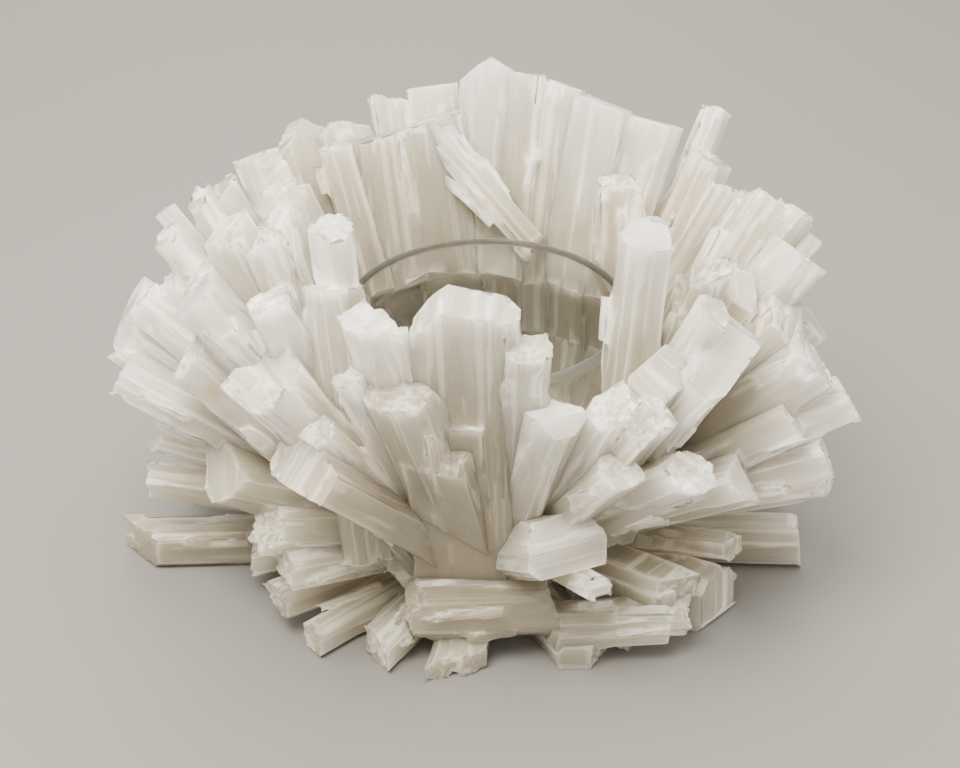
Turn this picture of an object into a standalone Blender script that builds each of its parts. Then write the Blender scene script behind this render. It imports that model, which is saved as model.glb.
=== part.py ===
"""Satin spar bowl: a round glass bowl with raw satin spar logs glued all over its outside.

Units are metres and +Z is up. The origin is on the flat underside of the broad base
slab, under the middle of the glass bowl, and the front of the bowl looks along -Y.
Azimuths are in degrees round the bowl's upright axis: 0 is the front (-Y), 90 the right
(+X), 180 the back and -90 the left. Lengths in the tables of logs are millimetres.
"""
import math
import random
from collections import namedtuple

import bmesh
import bpy
from mathutils import Matrix, Vector

MM = 0.001
GAP = 0.3 * MM

# Glass bowl, a blown bubble bowl with a flat foot.
GLASS_RADIUS = 100 * MM
GLASS_CENTRE = 129 * MM
GLASS_RIM = 180 * MM
GLASS_FOOT = 31 * MM
GLASS_WALL = 4 * MM
GLASS_SIDES = 30

# Spar logs.
SUNK = 14 * MM                 # how far a log's inner end runs past the glass before it is cut
FREE_SPACE_TOP = 330 * MM      # the bowl's mouth is kept clear of spar up to this height
CUT_SIDES = 16                 # flats round the hollow that the bowl leaves in the spar
CUT_RINGS = 5                  # flats of that hollow from the foot to the rim
BASE_START = 24 * MM           # base logs start this far from the middle, inside the slab there
TAPER = 1.26                   # width at a log's inner end, as a share of its full width
MAIN_CORNERS = 3               # long corners that are broken off the main log of a cluster
GROWN_CORNERS = 2              # and off each log grown together with it

Log = namedtuple("Log", "tip foot width depth ends strips")
Bar = namedtuple("Bar", "start end width depth strips")


def log(tip, foot, width, depth, ends=(), strips=0):
    """A log glued to the glass by its inner end.

    tip: azimuth, distance from the bowl's axis and height of the outer end.
    foot: azimuth and height on the glass; with no height, the log lies flat on the ground.
    ends: planes that break the outer end: lean from square, side it falls to, drop.
    strips: thinner lengths of spar grown along its sides.
    """
    return Log(tip, foot, width, depth, tuple(ends), strips)


def bar(start, end, width, depth, strips=1):
    """A log that lies across the others: both ends are x, y and height."""
    return Bar(start, end, width, depth, strips)


# Each cluster is one lump of spar: a main log and what has grown together with it.
# The first clusters stand whole, and each later one is cut where it meets them.
CLUSTERS = {
    "base_centre_slab": [
        bar((-60, 4, 15.2), (58, 8, 15.2), 64, 30.4, strips=0),
    ],
    "front_centre_crystal": [
        log((-5, 127, 262), (-5, 100), 56, 22, ends=[(46, 180, -12), (12, 0, 2)]),
        log((-9, 118, 176), (-9, 106), 34, 20, ends=[(30, 90, 0)]),
    ],
    "front_short_crystal": [
        log((10, 132, 233), (9, 92), 25, 20, ends=[(6, 180, 0)], strips=1),
    ],
    "front_pointing_log": [
        log((16, 142, 195), (9, 66), 28, 26, ends=[(35, 90, 0), (30, 270, -4)]),
    ],
    "front_streaked_log": [
        log((-28, 141, 248), (-18, 98), 26, 22, ends=[(12, 0, 0)]),
        log((-20, 138, 244), (-16, 100), 8, 9),
    ],
    "left_front_crown_log": [
        log((-59, 101, 266), (-50, 108), 27, 22, ends=[(14, 90, 0)]),
        log((-55, 104, 232), (-46, 104), 42, 22, ends=[(20, 180, 0)]),
    ],
    "right_front_crown_log": [
        log((57, 106, 265), (49, 100), 28, 25, ends=[(18, 90, 0), (28, 180, -3)]),
    ],
    "front_square_log": [
        log((-20, 144, 206), (-12, 74), 34, 26, ends=[(12, 90, 0)]),
        log((-15, 124, 160), (-14, 74), 46, 26),
    ],
    "front_narrow_logs": [
        log((-31, 150, 213), (-22, 82), 17, 18, ends=[(25, 90, 0)]),
        log((-35, 160, 180), (-24, 74), 18, 18),
    ],
    "front_left_bright_log": [
        log((-46, 180, 205), (-36, 78), 28, 22, ends=[(20, 0, 0)], strips=1),
        log((-52, 150, 196), (-44, 84), 44, 24),
    ],
    "front_left_warm_log": [
        log((-38, 174, 164), (-24, 58), 44, 26, ends=[(38, 0, -6), (20, 180, 0)]),
    ],
    "front_right_shards": [
        log((28, 146, 193), (20, 68), 24, 22, ends=[(28, 180, -2)]),
        log((35, 154, 183), (26, 68), 24, 22, ends=[(24, 180, -2)]),
        log((44, 140, 196), (38, 84), 40, 24),
    ],
    "front_low_block": [
        log((19, 140, 102), (13, 46), 46, 32, ends=[(30, 90, -2), (35, 270, -3)]),
        log((25, 153, 76), (19, 40), 15, 15),
    ],
    "front_smooth_block": [
        log((-10, 88, 46), (-10, 43), 84, 24, ends=[(6, 90, 0)]),
    ],
    "right_blunt_logs": [
        log((43, 170, 148), (34, 58), 30, 26, ends=[(22, 90, 0)]),
        log((28, 156, 158), (22, 58), 24, 22, ends=[(25, 90, 0)]),
    ],
    "right_long_log": [
        log((59, 178, 119), (42, 42), 34, 28, ends=[(30, 0, 0), (25, 90, -3)]),
    ],
    "right_square_block": [
        log((69, 138, 236), (63, 116), 30, 22, ends=[(34, 90, 0)]),
        log((68, 126, 218), (64, 116), 46, 20),
    ],
    "right_upper_logs": [
        log((60, 148, 224), (53, 98), 26, 22),
        log((57, 158, 198), (50, 84), 50, 26, ends=[(20, 180, 0)]),
    ],
    "right_side_slab": [
        log((80, 178, 195), (70, 90), 40, 24, ends=[(15, 180, 0)], strips=1),
        log((84, 150, 208), (80, 104), 54, 22),
    ],
    "right_rough_block": [
        log((74, 198, 180), (66, 80), 34, 30, ends=[(10, 0, 0), (40, 90, -8)], strips=1),
    ],
    "right_far_log": [
        log((75, 219, 155), (62, 68), 25, 22, ends=[(14, 0, 0)]),
        log((72, 190, 146), (62, 66), 44, 26),
    ],
    "right_low_logs": [
        log((72, 211, 120), (60, 54), 26, 22, ends=[(12, 0, 0)]),
        log((76, 211, 92), (62, 46), 26, 24, ends=[(8, 180, 0)]),
    ],
    "right_base_log": [
        log((87.5, 199, 0), (87, None), 26, 25, ends=[(6, 90, 0)]),
        log((77, 170, 66), (66, 36), 38, 28),
    ],
    "right_corner_logs": [
        log((63, 160, 0), (57, None), 34, 36),
        log((50, 150, 42), (44, 30), 30, 28, strips=1),
        log((63, 166, 58), (54, 34), 20, 18),
    ],
    "front_cross_log": [
        bar((-47, -104, 33), (40, -103, 35), 28, 38, strips=1),
    ],
    "front_cross_log_right": [
        bar((36, -104, 25), (121, -98, 25), 26, 20, strips=1),
    ],
    "front_base_pair": [
        log((-12, 132, 0), (-10, None), 18, 16, ends=[(32, 0, 0)]),
        log((-6, 128, 0), (-8, None), 26, 17, ends=[(36, 0, 0), (36, 180, -2)]),
    ],
    "front_base_right_logs": [
        log((27, 132, 0), (23, None), 34, 17, ends=[(32, 0, -4), (28, 180, -3)]),
        log((44, 130, 0), (36, None), 26, 16, ends=[(20, 0, 0)]),
    ],
    "front_base_left_log": [
        log((-30, 132, 0), (-25, None), 26, 23, ends=[(25, 180, 0)], strips=1),
    ],
    "left_front_base_logs": [
        log((-45, 148, 0), (-38, None), 20, 22, ends=[(4, 90, 0)]),
        log((-57, 154, 26), (-49, 24), 22, 22, strips=1),
    ],
    "left_base_square_log": [
        log((-54, 150, 54), (-38, 42), 22, 22, ends=[(3, 90, 0)]),
    ],
    "left_corner_block": [
        log((-60, 152, 72), (-46, 44), 36, 26, ends=[(25, 90, 0)]),
        log((-74, 153, 22), (-60, 36), 18, 18),
    ],
    "left_base_log": [
        log((-87.5, 221, 0), (-87, None), 27, 25, ends=[(40, 0, 0)]),
    ],
    "left_low_log": [
        log((-88, 212, 62), (-60, 32), 21, 19, ends=[(10, 270, 0)]),
        log((-74, 170, 96), (-62, 46), 50, 28),
    ],
    "left_small_logs": [
        log((-91, 207, 80), (-70, 48), 13, 12, ends=[(30, 90, -2)]),
        log((-88, 200, 112), (-72, 56), 26, 24, strips=1),
    ],
    "left_big_slab": [
        log((-97, 222, 164), (-84, 74), 55, 26, ends=[(10, 0, 0), (45, 0, -16)], strips=1),
    ],
    "left_big_slab_low": [
        log((-89, 216, 143), (-74, 62), 49, 24, ends=[(12, 180, 0), (45, 180, -14)], strips=1),
    ],
    "left_upper_shards": [
        log((-92, 208, 184), (-82, 90), 24, 20),
        log((-94, 194, 191), (-84, 90), 24, 20),
        log((-80, 176, 178), (-72, 84), 56, 26),
    ],
    "left_middle_slab": [
        log((-76, 174, 214), (-68, 98), 40, 24, ends=[(15, 180, 0)], strips=1),
        log((-63, 140, 224), (-58, 100), 40, 24, ends=[(15, 180, 0)]),
    ],
    "left_white_logs": [
        log((-96, 194, 219), (-90, 100), 19, 18, ends=[(14, 0, 0)]),
        log((-108, 209, 213), (-96, 100), 13, 13, ends=[(8, 180, 0)]),
        log((-88, 172, 206), (-86, 100), 44, 22),
    ],
    "left_crown_slab": [
        log((-107, 174, 229), (-99, 106), 40, 22, ends=[(16, 0, 0)], strips=1),
        log((-95, 155, 230), (-92, 106), 36, 22),
    ],
    "left_crown_block": [
        log((-121, 169, 239), (-114, 112), 26, 22, ends=[(4, 180, 0), (40, 180, -8)]),
        log((-117, 150, 212), (-114, 112), 54, 22),
    ],
    "left_crown_short_logs": [
        log((-114, 137, 235), (-109, 120), 24, 16, ends=[(6, 0, 0)]),
        log((-83, 127, 239), (-82, 120), 18, 14, ends=[(25, 90, 0)]),
        log((-98, 130, 226), (-96, 120), 50, 16),
    ],
    "back_left_pointed_log": [
        log((-137, 176, 235), (-129, 110), 38, 22, ends=[(42, 0, -6), (38, 180, -6)]),
        log((-132, 212, 158), (-130, 90), 44, 28),
        log((-126, 208, 92), (-128, 68), 46, 28),
        log((-142, 192, 198), (-134, 98), 34, 24),
    ],
    "back_left_ridge_log": [
        log((-137, 142, 236), (-136, 128), 20, 14, ends=[(10, 90, 0)]),
        log((-144, 166, 237), (-142, 118), 38, 18, ends=[(25, 0, -2), (25, 180, -2)]),
    ],
    "back_broad_slab": [
        log((-160, 145, 234), (-160, 132), 70, 15, ends=[(8, 0, 0)]),
    ],
    "back_leaning_log": [
        bar((-36, 142, 234), (31, 98, 170), 17, 13),
    ],
    "back_crown_left_pair": [
        log((-168, 175, 245), (-167, 108), 31, 19, ends=[(2, 0, 0)]),
        log((-159, 179, 239), (-157, 108), 24, 19, ends=[(18, 180, 0)]),
        log((-156, 210, 168), (-158, 92), 50, 28),
        log((-152, 216, 98), (-154, 70), 46, 28),
        log((-164, 198, 128), (-158, 80), 34, 24),
    ],
    "back_crown_tall_log": [
        log((179, 177, 261), (180, 112), 38, 23, ends=[(38, 0, -3), (35, 180, -3)]),
        log((-177, 212, 152), (-178, 90), 46, 28),
        log((-174, 202, 84), (-176, 68), 44, 28),
        log((-168, 200, 192), (-177, 96), 32, 24),
    ],
    "back_crown_right_pair": [
        log((170, 168, 257), (171, 114), 25, 18, ends=[(3, 0, 0), (40, 180, -7)]),
        log((162, 171, 250), (164, 114), 22, 18, ends=[(12, 180, 0)]),
        log((165, 204, 186), (168, 96), 40, 26),
        log((169, 208, 124), (169, 80), 36, 26),
    ],
    "back_wide_slab": [
        log((153, 163, 247), (155, 116), 38, 17, ends=[(6, 180, 0)]),
        log((150, 214, 150), (153, 92), 46, 28),
        log((160, 210, 96), (158, 70), 46, 28),
        log((148, 188, 202), (152, 100), 32, 22),
    ],
    "back_right_slab": [
        log((139, 165, 243), (140, 116), 36, 18, ends=[(5, 0, 0)]),
        log((134, 202, 178), (137, 95), 42, 28),
        log((137, 214, 104), (138, 70), 44, 28),
        log((126, 204, 166), (132, 90), 30, 24),
    ],
    "back_right_logs": [
        log((136, 213, 238), (125, 104), 18, 18, ends=[(3, 0, 0)]),
        log((130, 184, 222), (124, 104), 26, 20),
        log((121, 180, 211), (118, 100), 28, 20),
        log((116, 210, 134), (118, 82), 44, 28),
        log((120, 206, 82), (118, 64), 40, 28),
    ],
    "right_rim_log": [
        log((129, 103, 234), (126, 142), 24, 13, ends=[(15, 90, 0)], strips=1),
    ],
    "right_crown_cluster": [
        log((105, 178, 232), (100, 106), 26, 22, strips=1),
        log((103, 196, 223), (98, 106), 22, 20, ends=[(12, 0, 0)]),
        log((111, 177, 214), (106, 102), 30, 20),
    ],
    "right_broad_slab": [
        log((92, 187, 215), (84, 100), 50, 24, ends=[(12, 0, 0), (45, 0, -14)]),
        log((102, 205, 206), (90, 97), 13, 13),
        log((97, 199, 160), (90, 81), 42, 26),
        log((102, 204, 112), (96, 66), 44, 26),
    ],
    "left_back_logs": [
        log((-112, 212, 148), (-108, 86), 50, 28),
        log((-108, 214, 92), (-106, 66), 46, 28),
        log((-119, 200, 188), (-110, 98), 32, 24),
    ],
    "base_back_left_logs": [
        log((-112, 203, 0), (-112, None), 36, 27),
        log((-134, 196, 0), (-134, None), 38, 28),
        log((-157, 204, 0), (-155, None), 40, 26),
    ],
    "base_back_right_logs": [
        log((180, 198, 0), (178, None), 40, 28),
        log((157, 204, 0), (155, None), 40, 27),
        log((134, 196, 0), (134, None), 40, 27),
        log((112, 200, 0), (113, None), 36, 28),
    ],
}


def remove_everything():
    """Start from an empty scene."""
    for item in list(bpy.data.objects):
        bpy.data.objects.remove(item, do_unlink=True)


def new_collection(name):
    """A collection in the scene, for parts or for guides."""
    collection = bpy.data.collections.new(name)
    bpy.context.scene.collection.children.link(collection)
    return collection


def round_point(azimuth, distance, height):
    """A point from its azimuth, its distance from the bowl's axis and its height."""
    turn = math.radians(azimuth)
    return Vector((distance * math.sin(turn), -distance * math.cos(turn), height))


def glass_radius_at(height):
    """Outer radius of the glass bowl at a height."""
    rise = height - GLASS_CENTRE
    return math.sqrt(max(GLASS_RADIUS ** 2 - rise ** 2, 0.0))


def chop(mesh, point, normal):
    """Break off what lies on the normal's side of a plane, and close the cut."""
    whole = mesh.verts[:] + mesh.edges[:] + mesh.faces[:]
    cut = bmesh.ops.bisect_plane(
        mesh, geom=whole, plane_co=point, plane_no=normal, dist=1e-7, clear_outer=True)
    edges = [item for item in cut["geom_cut"] if isinstance(item, bmesh.types.BMEdge)]
    if len(edges) > 2:
        bmesh.ops.edgeloop_fill(mesh, edges=edges)


def end_plane(lean, side):
    """Outward direction of a broken end that leans from square towards one side."""
    lean, side = math.radians(lean), math.radians(side)
    return Vector((math.sin(lean) * math.cos(side), math.sin(lean) * math.sin(side), math.cos(lean)))


# One convex length of spar. Its corners and ends are planes in its own frame.
Piece = namedtuple("Piece", "start end width depth taper planes shift")


def piece_frame(piece):
    """Placing of a piece: X across it, Y through it, Z from its inner end to its tip."""
    axis = (piece.end - piece.start).normalized()
    across = Vector((0, 0, 1)).cross(axis).normalized()
    through = axis.cross(across)
    frame = Matrix((across, through, axis)).transposed().to_4x4()
    return Matrix.Translation(piece.start) @ frame


def piece_mesh(piece, grow=0.0):
    """The piece as a closed mesh, with every face moved out by grow."""
    length = (piece.end - piece.start).length
    spare = 0.8 * max(piece.width, piece.depth)
    low, high = -spare, length + spare
    mesh = bmesh.new()
    bmesh.ops.create_cube(mesh, size=1.0)
    for vert in mesh.verts:
        share = piece.taper if vert.co.z < 0 else 1.0
        vert.co.x *= piece.width * share + 2 * grow
        vert.co.y *= piece.depth * share + 2 * grow
        vert.co.z = high + grow if vert.co.z > 0 else low - grow
    bmesh.ops.translate(mesh, verts=mesh.verts, vec=Vector((piece.shift[0], piece.shift[1], 0)))
    for point, normal in piece.planes:
        chop(mesh, point + normal * grow, normal)
    bmesh.ops.transform(mesh, matrix=piece_frame(piece), verts=mesh.verts)
    bmesh.ops.recalc_face_normals(mesh, faces=mesh.faces)
    return mesh


def broken_corners(chance, width, depth, shift, count, flat_bottom):
    """Planes that take off the long corners of a log, each by its own amount."""
    planes = []
    corners = [(1, 1), (-1, 1), (1, -1), (-1, -1)]
    chance.shuffle(corners)
    for side_x, side_y in corners[:count]:
        bite = min(width, depth) * chance.uniform(0.16, 0.36)
        if flat_bottom and side_y < 0:
            bite *= 0.45
        turn = math.radians(chance.uniform(30, 60))
        normal = Vector((side_x * math.cos(turn), side_y * math.sin(turn), 0)).normalized()
        point = Vector((shift[0] + side_x * (width / 2 - bite), shift[1] + side_y * depth / 2, 0))
        planes.append((point, normal))
    return planes


def broken_end(chance, ends, width, length, shift, facing=1):
    """Planes that break one end of a log."""
    if not ends:
        side = chance.uniform(0, 360)
        ends = [(chance.uniform(6, 20), side, 0),
                (chance.uniform(35, 52), side + chance.uniform(70, 250), -0.34 * width / MM)]
    planes = []
    for lean, side, drop in ends:
        normal = end_plane(lean, side)
        point = Vector((shift[0], shift[1], length - drop * MM))
        if facing < 0:
            normal.z = -normal.z
            point.z = drop * MM
        planes.append((point, normal))
    return planes


def strip_pieces(chance, item, start, end, width, depth, count, base):
    """Thinner lengths of spar grown along the sides of a log."""
    length = (end - start).length
    pieces = []
    for number in range(count):
        side = 1 if (number + chance.randint(0, 1)) % 2 else -1
        strip_width = width * chance.uniform(0.34, 0.5)
        strip_depth = depth * chance.uniform(0.5, 0.8)
        shift_x = side * (width * 0.5 - strip_width * chance.uniform(0.15, 0.4))
        shift_y = chance.choice((-1, 1)) * (depth * 0.5 - strip_depth * chance.uniform(0.3, 0.48))
        if base:
            shift_y = -depth * 0.5 + strip_depth * 0.5
        strip_length = length - chance.uniform(-0.05, 0.16) * length
        shift = (shift_x, shift_y)
        planes = broken_corners(chance, strip_width, strip_depth, shift, 1, base)
        tilt = chance.uniform(8, 30)
        planes += broken_end(chance, [(tilt, chance.uniform(0, 360), 0)], strip_width, strip_length, shift)
        if isinstance(item, Bar):
            low_end = length * chance.uniform(0.0, 0.15) / MM
            planes += broken_end(chance, [(tilt, 120, low_end)], strip_width, 0, shift, facing=-1)
        pieces.append(Piece(start, end, strip_width, strip_depth, 1.0, planes, shift))
    return pieces


def log_pieces(chance, item, corners):
    """The main length of a log, with so many corners broken, and the strips grown on it."""
    width, depth = item.width * MM, item.depth * MM
    base = False
    taper = 1.0
    if isinstance(item, Bar):
        start, end = Vector(item.start) * MM, Vector(item.end) * MM
        ends = ()
        base = start.z <= 0.5 * depth + GAP
    else:
        azimuth, distance, height = item.tip
        end = round_point(azimuth, distance * MM, height * MM)
        foot_azimuth, foot_height = item.foot
        if foot_height is None:
            base = True
            end.z = 0.5 * depth
            start = round_point(foot_azimuth, BASE_START, end.z)
        else:
            glued = round_point(foot_azimuth, glass_radius_at(foot_height * MM), foot_height * MM)
            start = glued + (glued - end).normalized() * SUNK
            taper = TAPER
        ends = item.ends
    length = (end - start).length
    planes = broken_corners(chance, width, depth, (0, 0), corners, base)
    planes += broken_end(chance, ends, width, length, (0, 0))
    if isinstance(item, Bar):
        planes += broken_end(chance, ends, width, 0, (0, 0), facing=-1)
    pieces = [Piece(start, end, width, depth, taper, planes, (0, 0))]
    pieces += strip_pieces(chance, item, start, end, width, depth, item.strips, base)
    return pieces


def add_object(name, mesh, collection, hidden=False):
    """Make an object from a bmesh. A hidden one is a cutter or a guide."""
    data = bpy.data.meshes.new(name)
    mesh.to_mesh(data)
    mesh.free()
    item = bpy.data.objects.new(name, data)
    collection.objects.link(item)
    if hidden:
        item.hide_render = True
        item.display_type = "WIRE"
    return item


def box_of(item):
    """Lowest and highest corners of an object at rest."""
    points = [item.matrix_world @ vert.co for vert in item.data.vertices]
    low = Vector([min(point[axis] for point in points) for axis in range(3)])
    high = Vector([max(point[axis] for point in points) for axis in range(3)])
    return low, high


def boxes_meet(one, other):
    """Whether two boxes share some space."""
    return all(one[0][axis] <= other[1][axis] and other[0][axis] <= one[1][axis] for axis in range(3))


def apply_boolean(item, others, operation):
    """Join other objects to this one, or cut them out of it, all in one step."""
    group = new_collection("boolean_group")
    for other in others:
        group.objects.link(other)
    step = item.modifiers.new(operation.title(), "BOOLEAN")
    step.operation = operation
    step.solver = "EXACT"
    step.operand_type = "COLLECTION"
    step.collection = group
    bpy.context.view_layer.update()
    evaluated = item.evaluated_get(bpy.context.evaluated_depsgraph_get())
    result = bpy.data.meshes.new_from_object(evaluated)
    item.modifiers.clear()
    bpy.data.collections.remove(group)
    old = item.data
    item.data = result
    bpy.data.meshes.remove(old)


def islands_of(mesh):
    """The separate bodies of a bmesh, as lists of faces."""
    left = set(mesh.faces)
    islands = []
    while left:
        first = left.pop()
        island, reached = [first], [first]
        while reached:
            face = reached.pop()
            for edge in face.edges:
                for near in edge.link_faces:
                    if near in left:
                        left.remove(near)
                        island.append(near)
                        reached.append(near)
        islands.append(island)
    return islands


def is_closed(mesh):
    """Whether every edge of a bmesh has a face on both sides."""
    return all(len(edge.link_faces) == 2 for edge in mesh.edges)


def tidy_solid(item, tip):
    """Keep the body that holds the tip, with its flat faces merged where that is safe."""
    mesh = bmesh.new()
    mesh.from_mesh(item.data)
    bmesh.ops.remove_doubles(mesh, verts=mesh.verts, dist=0.02 * MM)
    islands = islands_of(mesh)
    if len(islands) > 1:
        def worth(island):
            corners = {vert for face in island for vert in face.verts}
            area = sum(face.calc_area() for face in island)
            nearest = min((vert.co - tip).length for vert in corners)
            return area / (nearest + 20 * MM)
        keep = max(islands, key=worth)
        loose = [face for island in islands if island is not keep for face in island]
        bmesh.ops.delete(mesh, geom=loose, context="FACES")
    merged = mesh.copy()
    bmesh.ops.dissolve_limit(
        merged, angle_limit=math.radians(0.2), verts=merged.verts, edges=merged.edges)
    for version in (merged, mesh):
        bmesh.ops.triangulate(version, faces=version.faces)
    best = merged if is_closed(merged) else mesh
    best.to_mesh(item.data)
    merged.free()
    mesh.free()


def spar_material(name, colour):
    """Silky white gypsum."""
    material = bpy.data.materials.new(name)
    material.use_nodes = True
    shader = material.node_tree.nodes["Principled BSDF"]
    shader.inputs["Base Color"].default_value = (*colour, 1.0)
    shader.inputs["Roughness"].default_value = 0.45
    shader.inputs["Metallic"].default_value = 0.0
    return material


def glass_material():
    """Clear blown glass."""
    material = bpy.data.materials.new("clear_glass")
    material.use_nodes = True
    shader = material.node_tree.nodes["Principled BSDF"]
    shader.inputs["Base Color"].default_value = (0.93, 0.96, 0.95, 1.0)
    shader.inputs["Roughness"].default_value = 0.02
    shader.inputs["Metallic"].default_value = 0.0
    shader.inputs["IOR"].default_value = 1.5
    shader.inputs["Transmission Weight"].default_value = 1.0
    return material


def bowl_outline():
    """Half section of the glass: down the outside, over the foot and up the inside."""
    outer_rim = math.asin((GLASS_RIM - GLASS_CENTRE) / GLASS_RADIUS)
    outer_foot = math.asin((GLASS_FOOT - GLASS_CENTRE) / GLASS_RADIUS)
    inner_radius = GLASS_RADIUS - GLASS_WALL
    inner_rim = math.asin((GLASS_RIM - GLASS_CENTRE) / inner_radius)
    inner_foot = math.asin((GLASS_FOOT + GLASS_WALL - GLASS_CENTRE) / inner_radius)
    points = [(0.0, GLASS_FOOT)]
    steps = 6
    for step in range(steps + 1):
        turn = outer_foot + (outer_rim - outer_foot) * step / steps
        points.append((GLASS_RADIUS * math.cos(turn), GLASS_CENTRE + GLASS_RADIUS * math.sin(turn)))
    rim_middle = 0.5 * (GLASS_RADIUS * math.cos(outer_rim) + inner_radius * math.cos(inner_rim))
    points.append((rim_middle, GLASS_RIM + 0.4 * GLASS_WALL))
    for step in range(steps + 1):
        turn = inner_rim + (inner_foot - inner_rim) * step / steps
        points.append((inner_radius * math.cos(turn), GLASS_CENTRE + inner_radius * math.sin(turn)))
    points.append((0.0, GLASS_FOOT + GLASS_WALL))
    return points


def turned(name, points, sides, collection):
    """A profile turned about the upright axis."""
    mesh = bmesh.new()
    verts = [mesh.verts.new((x, 0.0, z)) for x, z in points]
    for first, second in zip(verts, verts[1:]):
        mesh.edges.new((first, second))
    item = add_object(name, mesh, collection)
    screw = item.modifiers.new("Turned", "SCREW")
    screw.steps = sides
    screw.render_steps = sides
    screw.use_merge_vertices = True
    screw.merge_threshold = 0.00001
    screw.use_normal_flip = True
    return item


def glass_bowl(collection):
    """The bubble bowl that carries the spar."""
    bowl = turned("glass_bowl", bowl_outline(), GLASS_SIDES, collection)
    bowl.data.materials.append(glass_material())
    return bowl


def hollow_outline():
    """Half section of the space that the glass and its mouth take out of the spar."""
    low_turn = math.asin((GLASS_FOOT - GLASS_CENTRE) / GLASS_RADIUS)
    high_turn = math.asin((GLASS_RIM - GLASS_CENTRE) / GLASS_RADIUS)
    step = (high_turn - low_turn) / CUT_RINGS
    reach = GLASS_RADIUS / math.cos(step / 2) + 2 * GAP
    ring = [(reach * math.cos(low_turn + step * number),
             GLASS_CENTRE + reach * math.sin(low_turn + step * number))
            for number in range(CUT_RINGS + 1)]
    floor = GLASS_FOOT - GAP
    share = (floor - ring[0][1]) / (ring[1][1] - ring[0][1])
    points = [(0.0, floor), (ring[0][0] + share * (ring[1][0] - ring[0][0]), floor)] + ring[1:]
    points += [(ring[-1][0], FREE_SPACE_TOP), (0.0, FREE_SPACE_TOP)]
    return points


def hollow_cutter(collection):
    """A solid that fills the bowl and its mouth, with flats that clear the round glass."""
    spread = 1.0 / math.cos(math.pi / CUT_SIDES)
    points = [(radius * spread, height) for radius, height in hollow_outline()]
    hollow = turned("bowl_hollow", points, CUT_SIDES, collection)
    hollow.hide_render = True
    hollow.display_type = "WIRE"
    return hollow


def build():
    """Make every piece of the bowl."""
    remove_everything()
    parts = new_collection("satin_spar_bowl")
    guides = new_collection("guides")
    glass_bowl(parts)
    hollow = hollow_cutter(guides)
    bpy.context.view_layer.update()
    placed = []
    for name, logs in CLUSTERS.items():
        chance = random.Random(name)
        pieces = log_pieces(chance, logs[0], MAIN_CORNERS)
        for item in logs[1:]:
            pieces += log_pieces(chance, item, GROWN_CORNERS)
        solid = add_object(name, piece_mesh(pieces[0]), parts)
        others = [add_object(name + "_strip", piece_mesh(piece), guides, hidden=True)
                  for piece in pieces[1:]]
        cutters = [add_object(name + "_space", piece_mesh(piece, GAP), guides, hidden=True)
                   for piece in pieces]
        if others:
            apply_boolean(solid, others, "UNION")
        box = box_of(solid)
        near = [item for item, space in placed if boxes_meet(box, space)]
        apply_boolean(solid, near + [hollow], "DIFFERENCE")
        tidy_solid(solid, pieces[0].end)
        for item in others:
            bpy.data.objects.remove(item, do_unlink=True)
        placed += [(item, box_of(item)) for item in cutters]
        warmth = chance.uniform(0.0, 0.04)
        solid.data.materials.clear()
        solid.data.materials.append(
            spar_material(name + "_spar", (0.86, 0.83 - 0.5 * warmth, 0.78 - 2 * warmth)))


build()
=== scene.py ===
# Satin spar bowl, its looks. Every cluster of logs gets the fibres, ledges and broken ends
# of raw spar, and the blown glass bowl its smooth wall and rounded rim.
# Metres, +Z up, and the front looks along -Y.
import math
import random
from collections import namedtuple

import bmesh
import bpy
from mathutils import Matrix, Vector, noise
from mathutils.bvhtree import BVHTree


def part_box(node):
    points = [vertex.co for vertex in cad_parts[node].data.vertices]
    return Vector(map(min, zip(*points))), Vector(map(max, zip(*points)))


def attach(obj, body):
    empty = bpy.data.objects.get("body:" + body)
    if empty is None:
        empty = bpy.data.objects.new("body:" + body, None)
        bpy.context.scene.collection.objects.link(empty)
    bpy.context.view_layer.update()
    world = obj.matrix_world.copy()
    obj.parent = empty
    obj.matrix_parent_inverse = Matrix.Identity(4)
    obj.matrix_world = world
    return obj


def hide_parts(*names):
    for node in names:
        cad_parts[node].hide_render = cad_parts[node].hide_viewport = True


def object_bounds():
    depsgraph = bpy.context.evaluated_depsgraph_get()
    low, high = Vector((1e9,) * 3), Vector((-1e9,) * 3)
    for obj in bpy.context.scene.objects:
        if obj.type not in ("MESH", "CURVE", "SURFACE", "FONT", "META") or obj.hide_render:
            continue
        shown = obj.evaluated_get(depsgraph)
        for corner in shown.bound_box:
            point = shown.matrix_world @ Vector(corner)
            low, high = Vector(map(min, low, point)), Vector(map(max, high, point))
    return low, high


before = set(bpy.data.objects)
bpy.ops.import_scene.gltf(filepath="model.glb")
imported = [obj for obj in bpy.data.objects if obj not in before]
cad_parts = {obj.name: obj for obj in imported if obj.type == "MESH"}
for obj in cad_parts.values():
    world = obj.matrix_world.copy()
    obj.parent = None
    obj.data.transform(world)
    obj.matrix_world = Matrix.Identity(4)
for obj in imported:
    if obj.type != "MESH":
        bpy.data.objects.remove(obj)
cad_low, cad_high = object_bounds()

MM = 0.001
SAME_POINT = 0.01 * MM                   # points this close are merged

# Camera: where the bowl is seen from.
IMAGE_WIDTH = 960                        # the photo's, in pixels
CAMERA_PLACE = (0.0, -1.168, 0.882)
CAMERA_DROP = math.radians(32.9)
CAMERA_LENS = 85.0
CAMERA_SHIFT = -7 / IMAGE_WIDTH          # the bowl stands 7 pixels right of the photo's middle

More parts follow.
